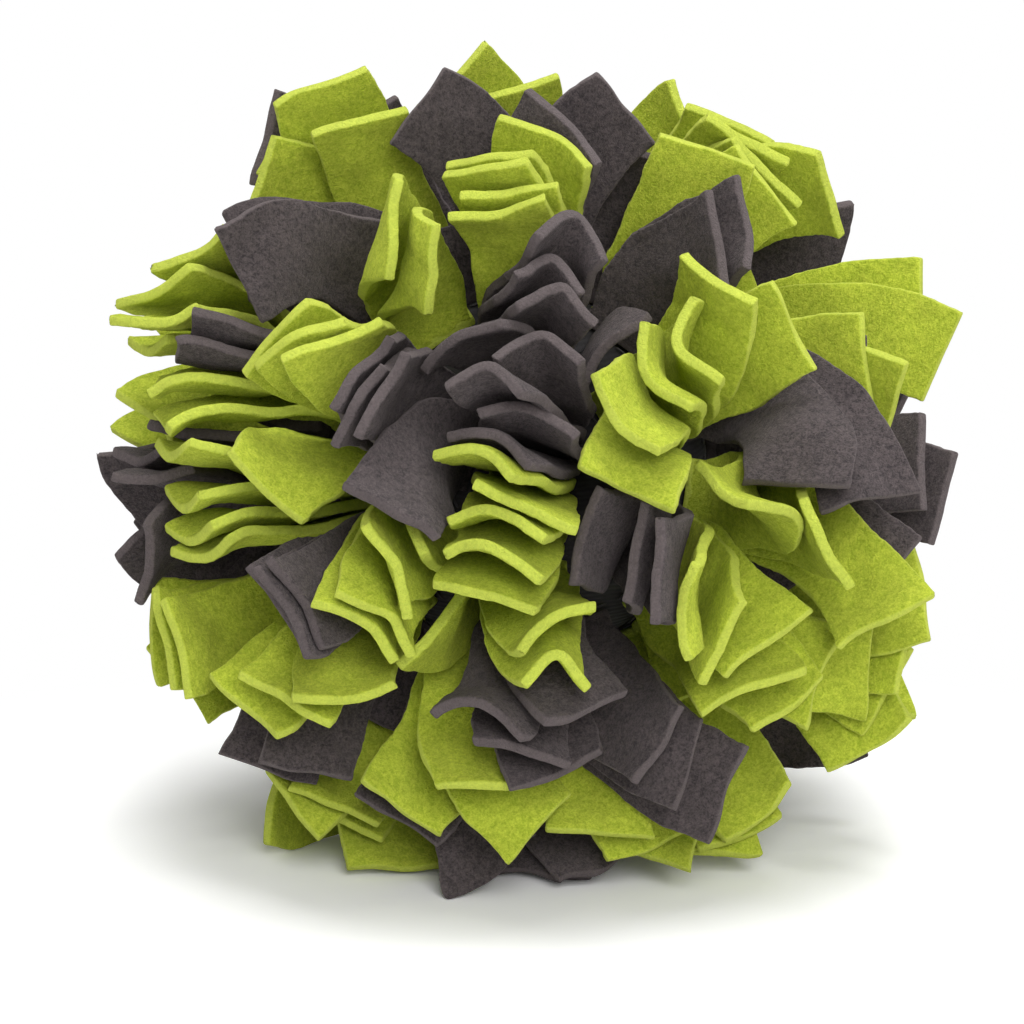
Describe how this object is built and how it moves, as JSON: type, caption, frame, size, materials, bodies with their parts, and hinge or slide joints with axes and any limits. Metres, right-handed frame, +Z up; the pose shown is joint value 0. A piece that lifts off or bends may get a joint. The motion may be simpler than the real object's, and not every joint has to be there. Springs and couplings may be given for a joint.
{
  "type": "snuffle ball dog toy",
  "caption": "Snuffle ball: square-ended lime and charcoal fleece strips, folded and sewn to a soft stuffed core, stand out all round to hide treats.",
  "frame": {"origin": "middle of the floor area under the ball, at the floor", "axes": "+Z up, -Y towards the pictured front of the ball, +X to the right seen from that front"},
  "size_m": [0.2134, 0.199, 0.2006],
  "materials": {
    "lime_fleece": "short fuzzy fleece pile, matt",
    "charcoal_fleece": "short fuzzy fleece pile, matt",
    "cover_cloth": "plain knitted fleece, matt",
    "stuffing": "polyester fibre filling, matt"
  },
  "bodies": {
    "ball": {"charcoal_tuft_back_inner_2": "charcoal_fleece", "charcoal_tuft_back_inner_4": "charcoal_fleece", "charcoal_tuft_back_outer_1": "charcoal_fleece", "charcoal_tuft_back_outer_3": "charcoal_fleece", "charcoal_tuft_back_outer_5": "charcoal_fleece", "charcoal_tuft_back_outer_7": "charcoal_fleece", "charcoal_tuft_centre": "charcoal_fleece", "charcoal_tuft_edge_6_oclock": "charcoal_fleece", "charcoal_tuft_edge_9_oclock": "charcoal_fleece", "charcoal_tuft_inner_10_oclock": "charcoal_fleece", "charcoal_tuft_inner_12_oclock": "charcoal_fleece", "charcoal_tuft_inner_4_oclock": "charcoal_fleece", "charcoal_tuft_inner_6_oclock": "charcoal_fleece", "charcoal_tuft_inner_8_oclock": "charcoal_fleece", "charcoal_tuft_middle_10_oclock": "charcoal_fleece", "charcoal_tuft_middle_11_oclock": "charcoal_fleece", "charcoal_tuft_middle_12_oclock": "charcoal_fleece", "charcoal_tuft_middle_1_oclock": "charcoal_fleece", "charcoal_tuft_middle_2_oclock": "charcoal_fleece", "charcoal_tuft_middle_3_oclock": "charcoal_fleece", "charcoal_tuft_middle_5_oclock": "charcoal_fleece", "charcoal_tuft_middle_7_oclock": "charcoal_fleece", "charcoal_tuft_middle_8_oclock": "charcoal_fleece", "core_cover_back": "cover_cloth", "core_cover_front": "cover_cloth", "core_stuffing": "stuffing", "lime_tuft_back_inner_1": "lime_fleece", "lime_tuft_back_inner_3": "lime_fleece", "lime_tuft_back_outer_2": "lime_fleece", "lime_tuft_back_outer_4": "lime_fleece", "lime_tuft_back_outer_6": "lime_fleece", "lime_tuft_back_outer_8": "lime_fleece", "lime_tuft_centre": "lime_fleece", "lime_tuft_edge_10_oclock": "lime_fleece", "lime_tuft_edge_11_oclock": "lime_fleece", "lime_tuft_edge_1_oclock": "lime_fleece", "lime_tuft_edge_4_oclock": "lime_fleece", "lime_tuft_edge_5_oclock": "lime_fleece", "lime_tuft_edge_7_oclock": "lime_fleece", "lime_tuft_edge_8_oclock": "lime_fleece", "lime_tuft_inner_10_oclock": "lime_fleece", "lime_tuft_inner_12_oclock": "lime_fleece", "lime_tuft_inner_2_oclock": "lime_fleece", "lime_tuft_inner_4_oclock": "lime_fleece", "lime_tuft_inner_6_oclock": "lime_fleece", "lime_tuft_inner_8_oclock": "lime_fleece", "lime_tuft_middle_10_oclock": "lime_fleece", "lime_tuft_middle_11_oclock": "lime_fleece", "lime_tuft_middle_12_oclock": "lime_fleece", "lime_tuft_middle_1_oclock": "lime_fleece", "lime_tuft_middle_2_oclock": "lime_fleece", "lime_tuft_middle_3_oclock": "lime_fleece", "lime_tuft_middle_4_oclock": "lime_fleece", "lime_tuft_middle_5_oclock": "lime_fleece", "lime_tuft_middle_7_oclock": "lime_fleece", "lime_tuft_middle_8_oclock": "lime_fleece", "lime_tuft_middle_9_oclock": "lime_fleece"},
    "top_strips": {"lime_tuft_edge_top": "lime_fleece"},
    "right_strips": {"lime_tuft_edge_right": "lime_fleece"},
    "side_strips": {"charcoal_tuft_edge_3_oclock": "charcoal_fleece"}
  },
  "joints": [
    {"name": "top_strips_swing", "type": "hinge", "parent": "ball", "child": "top_strips", "pos_m": [0.0004, 0.00689, 0.13781], "axis": [-1, 0, 0], "range_deg": [-8, 8], "stiffness_Nm_per_rad": 0.05},
    {"name": "right_strips_swing", "type": "hinge", "parent": "ball", "child": "right_strips", "pos_m": [0.03882, 0.00247, 0.11698], "axis": [-0.5299, 0.1763, 0.8295], "range_deg": [-8, 8], "stiffness_Nm_per_rad": 0.05},
    {"name": "side_strips_swing", "type": "hinge", "parent": "ball", "child": "side_strips", "pos_m": [0.04571, -0.00252, 0.0935], "axis": [0, 0.2079, 0.9781], "range_deg": [-8, 8], "stiffness_Nm_per_rad": 0.05}
  ]
}
